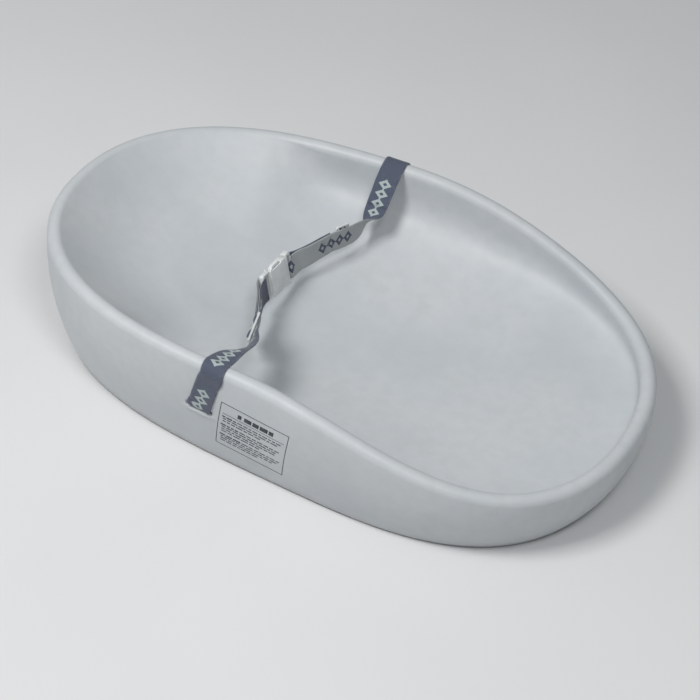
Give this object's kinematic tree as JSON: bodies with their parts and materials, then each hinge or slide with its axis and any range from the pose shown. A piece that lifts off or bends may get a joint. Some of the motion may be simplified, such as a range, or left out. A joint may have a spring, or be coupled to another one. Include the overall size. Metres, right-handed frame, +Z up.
{
  "type": "changing pad",
  "caption": "Oval one-piece foam changing pad: a shallow tub with a rolled rim, high sides and a low foot end, and a webbing safety strap with a side-release buckle.",
  "frame": {"origin": "centre of the tub's bounding box in plan, on the surface the base stands on", "axes": "+X along the pad towards the baby's feet (the low end), +Y across it to the far side, +Z up; the printed panel is on the -Y side"},
  "size_m": [0.7208, 0.4466, 0.1516],
  "materials": {
    "foam": "satin integral skin of moulded soft foam",
    "webbing": "woven polyester webbing, matt",
    "thread": "polyester thread",
    "plastic": "moulded acetal, light grey, satin",
    "print": "thin printed ink"
  },
  "bodies": {
    "pad": {"foam_tub": "foam", "near_anchor_bar": "plastic", "far_anchor_bar": "plastic", "near_strap_wall": "webbing", "far_strap_wall": "webbing", "near_anchor_stitch": "thread", "far_anchor_stitch": "thread", "printed_panel": "print"},
    "strap": {"near_strap_span": "webbing", "near_strap_loop": "webbing", "near_loop_stitch": "thread", "far_strap_span": "webbing", "buckle_housing": "plastic"},
    "tongue": {"buckle_tongue": "plastic", "far_strap_loop": "webbing", "far_loop_stitch": "thread"},
    "near_adjuster": {"near_slider": "plastic"},
    "far_adjuster": {"far_slider": "plastic"},
    "left_arm": {"left_prong": "plastic"},
    "right_arm": {"right_prong": "plastic"}
  },
  "joints": [
    {"name": "strap_swing", "type": "hinge", "parent": "pad", "child": "strap", "pos_m": [-0.048, 0, 0.148], "axis": [0, 1, 0], "range_deg": [-85, 40], "deforming": ["near_strap_span", "far_strap_span"]},
    {"name": "buckle_release", "type": "slide", "parent": "strap", "child": "tongue", "axis": [0, 0.9945, -0.1045], "range_m": [0, 0.03], "deforming": ["far_strap_span", "left_prong", "right_prong", "far_strap_loop"]},
    {"name": "near_adjust", "type": "slide", "parent": "strap", "child": "near_adjuster", "axis": [-0.3953, 0.6632, -0.6356], "range_m": [-0.012, 0.003], "deforming": ["near_strap_span", "near_strap_loop"]},
    {"name": "far_adjust", "type": "slide", "parent": "tongue", "child": "far_adjuster", "axis": [0.4229, 0.9062, 0], "range_m": [-0.003, 0.012], "deforming": ["far_strap_span", "far_strap_loop"]},
    {"name": "left_squeeze", "type": "hinge", "parent": "tongue", "child": "left_arm", "pos_m": [-0.09931, 0.02959, 0.10122], "axis": [0.9613, 0.0288, 0.2741], "range_deg": [0, 8], "stiffness_Nm_per_rad": 1, "deforming": ["left_prong"]},
    {"name": "right_squeeze", "type": "hinge", "parent": "tongue", "child": "right_arm", "pos_m": [-0.09269, 0.02718, 0.07828], "axis": [0.9613, 0.0288, 0.2741], "range_deg": [-8, 0], "stiffness_Nm_per_rad": 1, "deforming": ["right_prong"]}
  ],
  "couplings": [
    {"joint": "right_squeeze", "follows": "left_squeeze", "ratio": -1}
  ]
}
